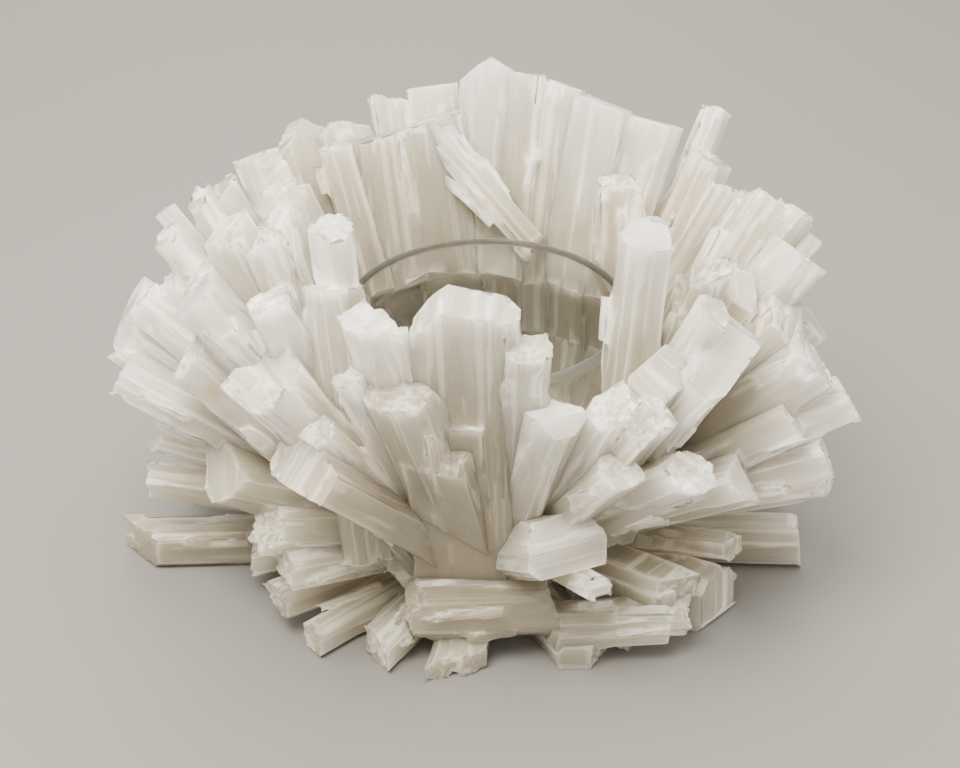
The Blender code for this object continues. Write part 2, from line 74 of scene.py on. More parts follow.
# Glass bowl, a bubble cut off at the foot and at the rim.
BOWL_CENTRE = Vector((0.0, 0.0, 129 * MM))
GLASS_LOW, GLASS_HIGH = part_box("glass_bowl")
GLASS_RADIUS = GLASS_HIGH.x
GLASS_WALL = 3.6 * MM
GLASS_TURNS = 128
GLASS_STEPS = 36                         # from the foot to the rim
RIM_STEPS = 8                            # over the rounded rim

# Spar: how the logs and their broken ends are told apart.
FLAT_FACE = math.radians(0.4)            # triangles that meet this flat are one face
LONG_EDGE = 22 * MM                      # edges of a solid that can show which way a log runs
SHORT_EDGE = 8 * MM                      # a side face has a longer edge than this along its log
SAME_WAY = 0.997                         # an edge lies along a log from this cosine on
SAME_LOG = 0.9985                        # and two directions are one log's from this cosine on
SIDE_TILT = 0.10                         # a side face is this square to the log's length
BROAD_TILT = 0.05                        # its area counts for a direction if this square to it
END_TILT = 0.30                          # a broken end faces at least this much along it
GLUED_REACH = 9 * MM                     # an inner end's middle lies this close to the glass

# Spar: how finely the fibres part the logs.
FIBRE_STEP = (1.3 * MM, 3.0 * MM)        # least and most between two cuts along the fibres
CUT_SNAP = 0.02 * MM                     # a cut runs through points this close to it
ROW_FIRST = 1.6 * MM                     # first row of faces behind a broken end
ROW_GROWTH = 1.2                         # each row further in is this much longer
ROW_MOST = 9 * MM
ROW_SPREAD = (0.7, 1.3)                  # and its length varies by this

# Spar: its weathering. A ridge has a size across and one along the fibres.
RIDGE_DEPTH = 0.7 * MM
COARSE_RIDGE = (0.0062, 0.09)
FINE_RIDGE = (0.0021, 0.05)
LEDGE_HEIGHT = 1.5 * MM                  # from the most sunken length of fibre to the proudest
LEDGE_WIDTH = 0.0068
LEDGE_START = 4 * MM                     # a ledge ends this far from the tip at least
LEDGE_REACH = 80 * MM                    # and at most this much further in
CHIP_DEPTH = 6.0 * MM
CHIP_REACH = 6 * MM                      # sides are chipped this far from the tip
CHIP_STEP = 0.0061                       # widths of the steps, shards and swells of a broken end
CHIP_SHARD = 0.0023
CHIP_SWELL = 0.011
FLAKE_WIDTH = 9 * MM                     # fibres cleave into lengths of about this size
FLAKE_LENGTH = 40 * MM
SHARP_EDGE = math.radians(26)
HIGHLIT_EDGE = SHARP_EDGE * 1.4             # edges sharper than this get a painted highlight: their points are painted paler
ROOT_DEPTH = 90 * MM                     # a log's root, glued to the glass, is this far from its tip

# Spar: where it meets spar.
JUNCTION = 0.2                           # weathering left where two logs of a cluster join
CREVICE = 5 * MM                         # spar closer to its neighbour than this is filled in
FILL_REACH = 2 * MM                      # and the filling sets in over this much of it
TOUCHING = 0.8 * MM                      # spar this close to its neighbour isn't weathered
SEAM = 0.2 * MM                          # it laps past the seam's middle, and clears the glass, by this

# Clusters that are plainly duller or whiter than the rest, from -1 to 1. The others lie from 0 to 1.
TONES = {
    "left_base_log": -0.8,
    "right_square_block": -0.8,
    "front_cross_log": -0.7,
    "back_broad_slab": -0.45,
    "front_square_log": -0.3,
    "front_left_warm_log": -0.3,
    "back_left_ridge_log": -0.25,
    "back_left_pointed_log": -0.25,
    "left_low_log": -0.2,
    "front_centre_crystal": 0.1,
    "front_cross_log_right": 0.6,
    "right_front_crown_log": 0.9,
    "front_streaked_log": 1.0,
    "front_pointing_log": 1.0,
    "front_low_block": 1.0,
    "left_front_crown_log": 1.0,
    "left_middle_slab": 1.0,
    "left_white_logs": 1.0,
    "right_far_log": 1.0,
    "right_upper_logs": 1.0,
}

# Splinters that lie along the logs.
SPLINTER_PAIRS = (2, 4)                  # fewest and most pairs that are tried on a cluster
SPLINTER_WIDTH = (4 * MM, 10 * MM)
SPLINTER_LENGTH = (20 * MM, 60 * MM)
SPLINTER_LEAST = SPLINTER_LENGTH[0] * 0.7
SPLINTER_LEAN = (math.radians(2), math.radians(9))
SPLINTER_SWING = (-0.12, 0.12)           # radians to either side of its log's direction
SPLINTER_TWIST = (-0.5, 0.5)             # radians about its own length
SPLINTER_NARROW = (0.45, 0.85)           # its tip's width, as a share of its own
SPLINTER_SLANT = (0, 1.5)                # how far its tip is cut back at a corner, in widths
SPLINTER_SUNK = 0.12                     # how far its middle lies under the side, in depths
SPLINTER_HEEL = 3 * MM                   # it starts this far behind its spot
SPLINTER_ROOM = 5 * MM                   # and ends at least this far short of the log's tip
SPLINTER_CLEAR = 3 * MM                  # no neighbour is this close to where it would stand out
SPLINTER_LOWEST = 12 * MM
SPLINTER_FROM_GLASS = 8 * MM

# One log of a cluster: its directions across, through and along it, the place in the pattern
# that it is cut from, how far its tip reaches, and its tone.
Log = namedtuple("Log", "axes offset tip tone")


# Log directions


def merged_copy(node):
    """The node's solid with its loose triangles merged into flat faces."""
    mesh = bmesh.new()
    mesh.from_mesh(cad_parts[node].data)
    bmesh.ops.remove_doubles(mesh, verts=mesh.verts, dist=SAME_POINT)
    bmesh.ops.dissolve_limit(
        mesh, angle_limit=FLAT_FACE, verts=mesh.verts, edges=mesh.edges)
    return mesh


def long_edges(mesh):
    """Directions of the long edges, each pointing away from the bowl."""
    found = []
    for edge in mesh.edges:
        span = edge.verts[1].co - edge.verts[0].co
        if span.length < LONG_EDGE:
            continue
        middle = (edge.verts[0].co + edge.verts[1].co) / 2
        if span.dot(middle - BOWL_CENTRE) < 0:
            span.negate()
        found.append(span.normalized())
    return found


def runs_along(face, direction):
    """Whether the face is a side of a log that runs in this direction."""
    if abs(face.normal.dot(direction)) > SIDE_TILT:
        return False
    for edge in face.edges:
        span = edge.verts[1].co - edge.verts[0].co
        if span.length > SHORT_EDGE and abs(span.normalized().dot(direction)) > SAME_WAY:
            return True
    return False


def log_directions(mesh):
    """One direction for each log of the cluster, and the number of its log for each face."""
    choices = long_edges(mesh)
    areas = {face: face.calc_area() for face in mesh.faces}
    left = set(mesh.faces)
    owner = {}
    directions = []
    while choices and left:
        def worth(direction):
            return sum(areas[face] for face in left if abs(face.normal.dot(direction)) < BROAD_TILT)
        best = max(choices, key=worth)
        sides = [face for face in left if runs_along(face, best)]
        if len(sides) < 2:
            choices.remove(best)
            continue
        for face in sides:
            owner[face] = len(directions)
        left.difference_update(sides)
        directions.append(best)
        choices = [other for other in choices if abs(other.dot(best)) < SAME_LOG]
    if not directions:
        directions.append(Vector((0, 0, 1)))
    spread(owner, left)
    return directions, owner


def spread(owner, left):
    """Give each end face to the log of the side face that it shares most edge with."""
    waiting = set(left)
    while waiting:
        settled = {}
        for face in waiting:
            shares = {}
            for edge in face.edges:
                for near in edge.link_faces:
                    if near in owner:
                        shares[owner[near]] = shares.get(owner[near], 0.0) + edge.calc_length()
            if shares:
                settled[face] = max(shares, key=shares.get)
        if not settled:
            settled = {face: 0 for face in waiting}
        owner.update(settled)
        waiting.difference_update(settled)


# Marks on the mesh


def layer_of(layers, name):
    """The layer of this name, made if it isn't there yet."""
    return layers.get(name) or layers.new(name)


class Marks:
    """What is marked on a cluster's corners, faces and points, mostly for the spar material."""

    def __init__(self, mesh):
        self.grain = layer_of(mesh.loops.layers.float_vector, "grain")
        self.broken = layer_of(mesh.faces.layers.float, "broken")
        self.flake = layer_of(mesh.faces.layers.float, "flake")
        self.lift = layer_of(mesh.loops.layers.float, "lift")
        self.tone = layer_of(mesh.faces.layers.float, "tone")
        # painted highlight: marks the points on the sharpest edges, which the spar material paints
        # paler
        self.edge_highlight = layer_of(mesh.verts.layers.float, "edge_highlight")
        self.tip = layer_of(mesh.verts.layers.float, "tip")
        self.log = layer_of(mesh.faces.layers.int, "log")


def is_glued_end(face):
    """Whether a face lies against the bowl, where an end of a log is glued to it or hidden."""
    middle = face.calc_center_median()
    return (middle - BOWL_CENTRE).length < GLASS_RADIUS + GLUED_REACH


def number_logs(mesh, marks):
    """Tell each face its log and whether it is a broken end, and return the logs' directions."""
    directions, owner = log_directions(mesh)
    for face in mesh.faces:
        tilt = abs(face.normal.dot(directions[owner[face]]))
        inner = is_glued_end(face)
        face[marks.log] = -1 if inner and tilt > END_TILT else owner[face]
        face[marks.broken] = 1.0 if tilt > END_TILT and not inner else 0.0
    return directions


def mark_lengths(mesh, marks, logs):
    """Mark each face's tone and cleaved length, and each corner's place and lift in its log."""
    for face in mesh.faces:
        log = logs[max(face[marks.log], 0)]
        in_log = Matrix(log.axes)
        chances = cleaved_length(in_log @ face.calc_center_median() + log.offset)
        lean = chances - Vector((0.5, 0.5, 0.5))
        face[marks.tone] = log.tone
        face[marks.flake] = chances.x
        for loop in face.loops:
            place = in_log @ loop.vert.co
            loop[marks.grain] = place + log.offset
            loop[marks.lift] = lean.dot(place) / MM


def mark_sharp_and_highlit_edges(mesh, marks):
    """Keep sharp edges sharp, and mark the points on the sharpest for a painted highlight, which makes
    them paler.
    """
    for face in mesh.faces:
        face.smooth = face[marks.broken] < 0.5
    for edge in mesh.edges:
        angle = edge.calc_face_angle(0.0)
        edge.smooth = angle < SHARP_EDGE
        if angle > HIGHLIT_EDGE:
            for vert in edge.verts:
                vert[marks.edge_highlight] = 1.0


# Cutting along the fibres


def cut(mesh, faces, point, normal):
    """Part the faces along a plane, and return them with the new ones."""
    edges = {edge for face in faces for edge in face.edges}
    verts = {vert for face in faces for vert in face.verts}
    result = bmesh.ops.bisect_plane(
        mesh, geom=[*verts, *edges, *faces], plane_co=point, plane_no=normal, dist=CUT_SNAP)
    return [item for item in result["geom"] if isinstance(item, bmesh.types.BMFace)]


def cut_log(mesh, faces, axes, chance):
    """Part one log's faces into narrow strips along the fibres, in rows that start at its tip."""
    across, through, along = axes
    for axis in (across, through):
        places = [vert.co.dot(axis) for face in faces for vert in face.verts]
        place, end = min(places), max(places)
        while True:
            place += chance.uniform(*FIBRE_STEP)
            if place > end - FIBRE_STEP[0] / 2:
                break
            faces = cut(mesh, faces, axis * place, axis)
    places = [vert.co.dot(along) for face in faces for vert in face.verts]
    place, end, row = max(places), min(places), ROW_FIRST
    while True:
        place -= row * chance.uniform(*ROW_SPREAD)
        row = min(row * ROW_GROWTH, ROW_MOST)
        if place < end + ROW_FIRST:
            break
        faces = cut(mesh, faces, along * place, along)


def log_axes(direction, sides):
    """Across, through and along a log, with through square to its broadest side."""
    if sides:
        broad = max(sides, key=lambda face: face.calc_area()).normal
    else:
        broad = direction.orthogonal()
    through = (broad - direction * broad.dot(direction)).normalized()
    return through.cross(direction).normalized(), through, direction


# Weathering


def neighbour_tree():
    """A search tree over all the spar, and which cluster each of its triangles belongs to."""
    corners, faces, owners = [], [], []
    for node, item in sorted(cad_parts.items()):
        if node == "glass_bowl":
            continue
        first = len(corners)
        corners += [vert.co.copy() for vert in item.data.vertices]
        for face in item.data.polygons:
            faces.append([first + index for index in face.vertices])
            owners.append(node)
    return BVHTree.FromPolygons(corners, faces), owners


def gap_beside(place, node):
    """How far the nearest other cluster is, up to the width of a crevice."""
    near = SPAR_TREE.find_nearest_range(place, CREVICE)
    return min((away for _, _, index, away in near if SPAR_OWNERS[index] != node), default=CREVICE)


def drawn_out(place, size):
    """A place in a log, counted in marks that are drawn out along it."""
    width, length = size
    return Vector((place.x / width, place.y / width, place.z / length))


def strand(place, width, layer):
    """A place in a log, counted in strands of fibre, on one layer of the pattern."""
    return Vector((place.x / width, place.y / width, layer))


def ridges(place):
    """How far the long ridges and grooves of the fibres sink at a place in a log."""
    coarse = noise.noise(drawn_out(place, COARSE_RIDGE))
    fine = noise.noise(drawn_out(place, FINE_RIDGE))
    return RIDGE_DEPTH * (0.55 + 0.75 * coarse + 0.45 * fine)


def ledges(place, from_tip):
    """How far a band of fibres stands proud of the side, which changes at a break along it."""
    before, after, spot = (noise.cell(strand(place, LEDGE_WIDTH, layer)) for layer in (1.5, 2.5, 3.5))
    proud = before if from_tip < LEDGE_START + LEDGE_REACH * spot ** 2 else after
    return LEDGE_HEIGHT * (proud - 0.5)


def chips(place):
    """How far a broken end sinks, in small steps and shards."""
    step = noise.cell(strand(place, CHIP_STEP, 5.5))
    shard = noise.cell(strand(place, CHIP_SHARD, 9.5))
    swell = noise.noise(strand(place, CHIP_SWELL, 2.2))
    return CHIP_DEPTH * max(0.0, 0.62 * max(0.0, step - 0.3) + 0.22 * shard + 0.45 * swell)


def cleaved_length(place):
    """Three chances for the cleaved length of fibre at a place in a log. The first is its milkiness."""
    column = strand(place, FLAKE_WIDTH, 0.5)
    stagger = 9 * noise.cell(column)
    return noise.cell_vector(column + Vector((0, 0, place.z / FLAKE_LENGTH + stagger)))


def facing(shown, marks, along):
    """Which way a point's sides face, which way all its faces do, and if it is on a broken end."""
    side, outward, broken = Vector(), Vector(), False
    for face in shown:
        outward += face.normal
        if face[marks.broken] > 0.5:
            broken = True
            continue
        flat = face.normal - along * face.normal.dot(along)
        if flat.length > 0.2:
            side += flat.normalized()
    return side, outward, broken


def worn_away(point, from_tip, log, side, broken):
    """How far the weather moves a free point: square to its side, and down its log near the tip."""
    across, through, along = log.axes
    place = Vector((point.dot(across), point.dot(through), point.dot(along))) + log.offset
    move = Vector()
    if side.length > 0.1:
        move += side.normalized() * (ledges(place, from_tip) - max(0.0, ridges(place)))
    if broken:
        move -= along * chips(place)
    elif from_tip < CHIP_REACH:
        move -= along * chips(place) * (1 - from_tip / CHIP_REACH)
    return move


def weather(mesh, marks, node, logs):
    """Sink the sides into ridges and ledges and chip the ends, less so close to a neighbour."""
    moves = {}
    for vert in mesh.verts:
        shown = [face for face in vert.link_faces if face[marks.log] >= 0]
        if not shown or len(shown) < len(vert.link_faces):
            vert[marks.tip] = ROOT_DEPTH
            continue
        numbers = {face[marks.log] for face in shown}
        log = logs[max(numbers)]
        along = log.axes[2]
        from_tip = log.tip - vert.co.dot(along)
        vert[marks.tip] = from_tip
        side, outward, broken = facing(shown, marks, along)
        gap = gap_beside(vert.co, node)
        free = min(1.0, max(0.0, (gap - TOUCHING) / (CREVICE - TOUCHING)))
        move = worn_away(vert.co, from_tip, log, side, broken)
        move *= free if len(numbers) == 1 else JUNCTION * free
        if outward.length > 0.1:
            fill = (1 - free) * min(1.0, max(0.0, (CREVICE - gap) / FILL_REACH))
            move += outward.normalized() * fill * (0.5 * gap + SEAM)
        moves[vert] = move
    for vert, move in moves.items():
        vert.co += move
        outside = vert.co - BOWL_CENTRE
        if outside.length < GLASS_RADIUS + SEAM and vert.co.z < GLASS_HIGH.z:
            vert.co = BOWL_CENTRE + outside.normalized() * (GLASS_RADIUS + SEAM)
        vert.co.z = max(vert.co.z, cad_low.z)


# Splinters


def splinter_spot(mesh, marks, node, directions, chance):
    """A place on an open side of a log, its outward direction and the log's number, or None."""
    sides = [face for face in mesh.faces if face[marks.log] >= 0 and face[marks.broken] < 0.5]
    face = chance.choices(sides, weights=[face.calc_area() for face in sides])[0]
    shares = [chance.random() for _ in face.verts]
    place = sum((vert.co * share for vert, share in zip(face.verts, shares)), Vector()) / sum(shares)
    along = directions[face[marks.log]]
    outward = face.normal - along * face.normal.dot(along)
    if outward.length <= 0.5 or place.z < SPLINTER_LOWEST:
        return None
    if (place - BOWL_CENTRE).length < GLASS_RADIUS + SPLINTER_FROM_GLASS:
        return None
    if gap_beside(place + face.normal * SPLINTER_CLEAR, node) <= SPLINTER_CLEAR:
        return None
    return place, outward.normalized(), face[marks.log]


def splinter(spot, directions, tips, number, chance):
    """A thin crystal that starts in the log's side and leans a little away from it."""
    place, outward, log = spot
    along = directions[log]
    room = tips[log] - place.dot(along) - SPLINTER_ROOM
    length = min(room, chance.uniform(*SPLINTER_LENGTH))
    if length < SPLINTER_LEAST:
        return None
    width, depth = chance.uniform(*SPLINTER_WIDTH), chance.uniform(*SPLINTER_WIDTH)
    lean = chance.uniform(*SPLINTER_LEAN)
    heading = (along * math.cos(lean) + outward * math.sin(lean)).normalized()
    heading.rotate(Matrix.Rotation(chance.uniform(*SPLINTER_SWING), 3, outward))
    across = outward.cross(heading).normalized()
    through = heading.cross(across).normalized()
    twist = Matrix.Rotation(chance.uniform(*SPLINTER_TWIST), 3, heading)
    across, through = twist @ across, twist @ through
    mesh = bmesh.new()
    marks = Marks(mesh)
    bmesh.ops.create_cube(mesh, size=1.0)
    middle = place - outward * depth * SPLINTER_SUNK + heading * (length / 2 - SPLINTER_HEEL)
    for vert in mesh.verts:
        at_tip = vert.co.z > 0
        narrow = chance.uniform(*SPLINTER_NARROW) if at_tip else 1.0
        slant = chance.uniform(*SPLINTER_SLANT) * width if at_tip else 0.0
        wide = across * vert.co.x * width * narrow
        deep = through * vert.co.y * depth * narrow
        vert.co = middle + wide + deep + heading * (vert.co.z * length - slant)
    mesh.normal_update()
    for face in mesh.faces:
        face[marks.log] = number
        face[marks.broken] = 1.0 if face.normal.dot(heading) > END_TILT else 0.0
    reach = max(vert.co.dot(heading) for vert in mesh.verts)
    return mesh, heading, reach


def temporary_object(mesh):
    """An object that holds a mesh for as long as it is joined to another."""
    data = bpy.data.meshes.new("joining")
    mesh.to_mesh(data)
    mesh.free()
    item = bpy.data.objects.new("joining", data)
    bpy.context.scene.collection.objects.link(item)
    return item


def joined(mesh, additions):
    """The mesh with the additions grown into it, as one closed body."""
    body = temporary_object(mesh)
    others = [temporary_object(addition) for addition in additions]
    for other in others:
        union = body.modifiers.new("joining", "BOOLEAN")
        union.object = other
        union.operation = "UNION"
        union.solver = "EXACT"
    shape = body.evaluated_get(bpy.context.evaluated_depsgraph_get())
    result = bmesh.new()
    result.from_mesh(shape.to_mesh())
    shape.to_mesh_clear()
    for item in [body, *others]:
        data = item.data
        bpy.data.objects.remove(item)
        bpy.data.meshes.remove(data)
    bmesh.ops.remove_doubles(result, verts=result.verts, dist=SAME_POINT)
    result.normal_update()
    return result


def with_splinters(mesh, marks, node, directions, tips, chance):
    """The cluster with splinters grown along its logs, or as it is if they don't join cleanly."""
    additions = []
    for _ in range(chance.randint(*SPLINTER_PAIRS) * 2):
        spot = splinter_spot(mesh, marks, node, directions, chance)
        made = spot and splinter(spot, directions, tips, len(tips), chance)
        if made:
            additions.append(made[0])
            directions.append(made[1])
            tips.append(made[2])
    if not additions:
        return mesh
    plain = mesh.copy()
    result = joined(mesh, additions)
    if all(edge.is_manifold for edge in result.edges):
        plain.free()
        return result
    result.free()
    return plain


# Clusters


def faces_of(mesh, marks, number):
    """The faces of one log."""
    return [face for face in mesh.faces if face[marks.log] == number]


def tip_reach(faces, direction):
    """How far a log's faces reach in its own direction."""
    return max((vert.co.dot(direction) for face in faces for vert in face.verts), default=0.0)


def cut_logs(mesh, marks, node, directions, tips, chance):
    """Cut every log of a cluster along its fibres, and return the logs."""
    logs = []
    for number, direction in enumerate(directions):
        faces = faces_of(mesh, marks, number)
        sides = [face for face in faces if face[marks.broken] < 0.5]
        axes = log_axes(direction, sides)
        offset = Vector([chance.uniform(0, 0.6) for _ in range(3)])
        tone = chance.random()
        logs.append(Log(axes, offset, tips[number], TONES.get(node, tone)))
        if faces:
            cut_log(mesh, faces, axes, chance)
    return logs


def new_object(name, mesh, material):
    """An object that holds a finished mesh."""
    data = bpy.data.meshes.new(name)
    mesh.to_mesh(data)
    mesh.free()
    data.materials.append(material)
    item = bpy.data.objects.new(name, data)
    bpy.context.scene.collection.objects.link(item)
    return item


def new_piece(name, mesh, material):
    """The finished object of a piece, riding on the frame."""
    item = new_object(name, mesh, material)
    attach(item, "root")
    return item


def dressed_cluster(node, material):
    """A cluster of spar logs in place of its plain solid."""
    chance = random.Random(node)
    mesh = merged_copy(node)
    marks = Marks(mesh)
    directions = number_logs(mesh, marks)
    tips = [tip_reach(faces_of(mesh, marks, number), way) for number, way in enumerate(directions)]
    mesh = with_splinters(mesh, marks, node, directions, tips, chance)
    marks = Marks(mesh)
    logs = cut_logs(mesh, marks, node, directions, tips, chance)
    weather(mesh, marks, node, logs)
    mark_lengths(mesh, marks, logs)
    mesh.normal_update()
    mark_sharp_and_highlit_edges(mesh, marks)
    piece = new_piece(node + "_spar", mesh, material)
    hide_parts(node)
    return piece


# Glass bowl


def bowl_section():
    """Points of the glass wall, from the middle of the foot over the rim to the middle inside."""
    outer_foot = math.asin((GLASS_LOW.z - BOWL_CENTRE.z) / GLASS_RADIUS)
    rim_height = GLASS_HIGH.z - BOWL_CENTRE.z - GLASS_WALL / 2
    outer_rim = math.asin(rim_height / GLASS_RADIUS)
    inner = GLASS_RADIUS - GLASS_WALL
    inner_foot = math.asin((GLASS_LOW.z + GLASS_WALL - BOWL_CENTRE.z) / inner)
    inner_rim = math.asin(rim_height / inner)
    points = [(0.0, GLASS_LOW.z), (GLASS_RADIUS * math.cos(outer_foot) * 0.5, GLASS_LOW.z)]
    for step in range(GLASS_STEPS + 1):
        turn = outer_foot + (outer_rim - outer_foot) * step / GLASS_STEPS
        points.append((GLASS_RADIUS * math.cos(turn), BOWL_CENTRE.z + GLASS_RADIUS * math.sin(turn)))
    outside, inside = GLASS_RADIUS * math.cos(outer_rim), inner * math.cos(inner_rim)
    middle, half = (outside + inside) / 2, (outside - inside) / 2
    for step in range(1, RIM_STEPS):
        turn = math.pi * step / RIM_STEPS
        points.append((middle + half * math.cos(turn),
                       BOWL_CENTRE.z + rim_height + 0.5 * GLASS_WALL * math.sin(turn)))
    for step in range(GLASS_STEPS + 1):
        turn = inner_rim + (inner_foot - inner_rim) * step / GLASS_STEPS
        points.append((inner * math.cos(turn), BOWL_CENTRE.z + inner * math.sin(turn)))
    points += [(inner * math.cos(inner_foot) * 0.5, GLASS_LOW.z + GLASS_WALL),
               (0.0, GLASS_LOW.z + GLASS_WALL)]
    return points


def glass_bowl(material):
    """The blown bowl as one closed wall of glass."""
    mesh = bmesh.new()
    verts = [mesh.verts.new((x, 0.0, z)) for x, z in bowl_section()]
    edges = [mesh.edges.new(pair) for pair in zip(verts, verts[1:])]
    bmesh.ops.spin(
        mesh, geom=verts + edges, cent=(0, 0, 0), axis=(0, 0, 1), angle=math.tau,
        steps=GLASS_TURNS, use_merge=True)
    bmesh.ops.remove_doubles(mesh, verts=mesh.verts, dist=SAME_POINT)
    bmesh.ops.recalc_face_normals(mesh, faces=mesh.faces)
    for face in mesh.faces:
        face.smooth = True
    piece = new_piece("glass_bowl_wall", mesh, material)
    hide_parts("glass_bowl")
    return piece


# Shader nodes


def new_material(name):
    """A material with its node tree and its shader."""
    material = bpy.data.materials.new(name)
    material.use_nodes = True
    tree = material.node_tree
    return material, tree, tree.nodes["Principled BSDF"]


def fill(tree, socket, value):
    """Link another node's output to a socket, or set the socket to a constant."""
    if isinstance(value, bpy.types.NodeSocket):
        tree.links.new(value, socket)
    else:
        socket.default_value = value


def add_node(tree, kind, inputs=(), **values):
    """Add a node, set its values, and fill its inputs with numbers or other nodes' outputs."""
    item = tree.nodes.new(kind)
    for name, value in values.items():
        setattr(item, name, value)
    for key, value in dict(inputs).items():
        fill(tree, item.inputs[key], value)
    return item


def mark(tree, name, output="Fac"):
    """What is marked on the mesh under a name."""
    return add_node(tree, "ShaderNodeAttribute", attribute_name=name).outputs[output]


def place_and_height(tree):
    """The place on the piece, and its height."""
    place = add_node(tree, "ShaderNodeTexCoord").outputs["Object"]
    return place, add_node(tree, "ShaderNodeSeparateXYZ", {"Vector": place}).outputs["Z"]


def distance_from(tree, place, spot):
    """How far the place is from a spot."""
    item = add_node(tree, "ShaderNodeVectorMath", {0: place, 1: spot}, operation="DISTANCE")
    return item.outputs["Value"]


def spread_of(tree, value, low, high, start=0.0, end=1.0):
    """The value brought from one range into another, and held inside it."""
    item = add_node(tree, "ShaderNodeMapRange", {
        "Value": value, "From Min": low, "From Max": high, "To Min": start, "To Max": end})
    item.clamp = True
    return item.outputs["Result"]


def summed(tree, *values):
    """The sum of several values."""
    total = values[0]
    for value in values[1:]:
        total = add_node(tree, "ShaderNodeMath", {0: total, 1: value}, operation="ADD").outputs[0]
    return total


def product(tree, first, second):
    """Two values multiplied."""
    return add_node(tree, "ShaderNodeMath", {0: first, 1: second}, operation="MULTIPLY").outputs[0]


def mixed(tree, share, first, second):
    """Two colours mixed by a share."""
    item = tree.nodes.new("ShaderNodeMix")
    item.data_type = "RGBA"
    for number, value in ((0, share), (6, first), (7, second)):
        fill(tree, item.inputs[number], value)
    return item.outputs[2]


def fibre_noise(tree, grain, size_across, size_along):
    """Noise drawn out along the fibres."""
    stretched = add_node(tree, "ShaderNodeMapping", {
        "Vector": grain, "Scale": (1 / size_across, 1 / size_across, 1 / size_along)})
    item = add_node(tree, "ShaderNodeTexNoise", {
        "Vector": stretched.outputs["Vector"], "Scale": 1.0, "Detail": 1.0, "Roughness": 0.6})
    return item.outputs["Fac"]


# Spar material


# Spar from dull beige to white. The beige of its roots and the white of a fresh tip are partly the
# spar's own colour, and partly painted shade and a painted glow.
SPAR_SHADES = (
    (0.00, (0.350, 0.305, 0.225, 1.0)),
    (0.30, (0.490, 0.445, 0.345, 1.0)),
    (0.60, (0.715, 0.672, 0.570, 1.0)),
    (0.82, (0.890, 0.866, 0.800, 1.0)),
    (1.00, (0.975, 0.968, 0.940, 1.0)),
)

# Stains in the spar, in millimetres: where, how far their core and their edge reach, their
# colour and their strength.
STAINS = (
    ((-159, -60, 160), (2, 9), (0.66, 0.36, 0.11, 1.0), 0.75),
    ((-85, -146, 140), (8, 42), (0.78, 0.55, 0.34, 1.0), 0.35),
    ((-13, -115, 104), (0.8, 2.2), (0.20, 0.17, 0.13, 1.0), 0.8),
    ((3, -106, 78), (1.2, 3.0), (0.13, 0.115, 0.09, 1.0), 0.85),
)

PAINTED_SHADE_MIDDLE = (0.0, 0.0, 40 * MM)        # painted shade: spar is darkest near here, low in the bowl, and pales outwards
CLEAVAGES_PER_METRE = 430.0              # small cleavage faces across a broken end


def shade_ramp(tree, paleness):
    """The spar's colour at a paleness from 0 to 1."""
    item = add_node(tree, "ShaderNodeValToRGB", {"Fac": paleness})
    ramp = item.color_ramp
    for spot, (position, colour) in enumerate(SPAR_SHADES):
        stop = ramp.elements[spot] if spot < 2 else ramp.elements.new(position)
        stop.position = position
        stop.color = colour
    return item.outputs["Color"]


def paleness_with_painted_light(tree, place, height):
    """White towards the tips and beige towards the roots, partly the spar's own colour and partly
    painted light; painted shade towards the foot and low in the middle of the bowl; a painted highlight
    on the sharpest edges; and each log a little different.
    """
    outwards = distance_from(tree, place, PAINTED_SHADE_MIDDLE)
    return (
        # paler towards the tip: partly the spar's own white, chipped tips and darker roots, partly a
        # painted glow through the thin tip and painted shade at the root between neighbours
        spread_of(tree, mark(tree, "tip"), ROOT_DEPTH, 6 * MM, 0.26, 0.70),
        # painted shade: darker towards the foot, which less light reaches
        spread_of(tree, height, 15 * MM, 110 * MM, -0.16, 0.0),
        # painted shade deep in the middle of the bowl, where the logs shade each other, paler outwards
        spread_of(tree, outwards, 115 * MM, 240 * MM, -0.17, 0.05),
        spread_of(tree, mark(tree, "tone"), -1.0, 1.0, -0.40, 0.11),
        # painted highlight: paler along the sharpest edges, where light catches them
        spread_of(tree, mark(tree, "edge_highlight"), 0.2, 1.0, 0.0, 0.32),
    )


def paleness_of_fibres(tree, clouds, bundles, single):
    """Milky clouds, bundles of white fibre, single bright fibres and cleaved lengths."""
    return (
        spread_of(tree, clouds, 0.3, 0.7, -0.06, 0.08),
        spread_of(tree, bundles, 0.3, 0.7, 0.0, 0.03),
        spread_of(tree, single, 0.54, 0.68, 0.0, 0.07),
        spread_of(tree, mark(tree, "flake"), 0.0, 1.0, -0.02, 0.03),
    )


def stained(tree, base, place, clouds):
    """The spar's colour with its stains, which are uneven like its clouds."""
    uneven = spread_of(tree, clouds, 0.3, 0.6, 0.3, 1.0)
    for spot, (core, edge), colour, strength in STAINS:
        away = distance_from(tree, place, Vector(spot) * MM)
        near = spread_of(tree, away, edge * MM, core * MM, 0.0, strength)
        base = mixed(tree, product(tree, near, uneven), base, colour)
    return base


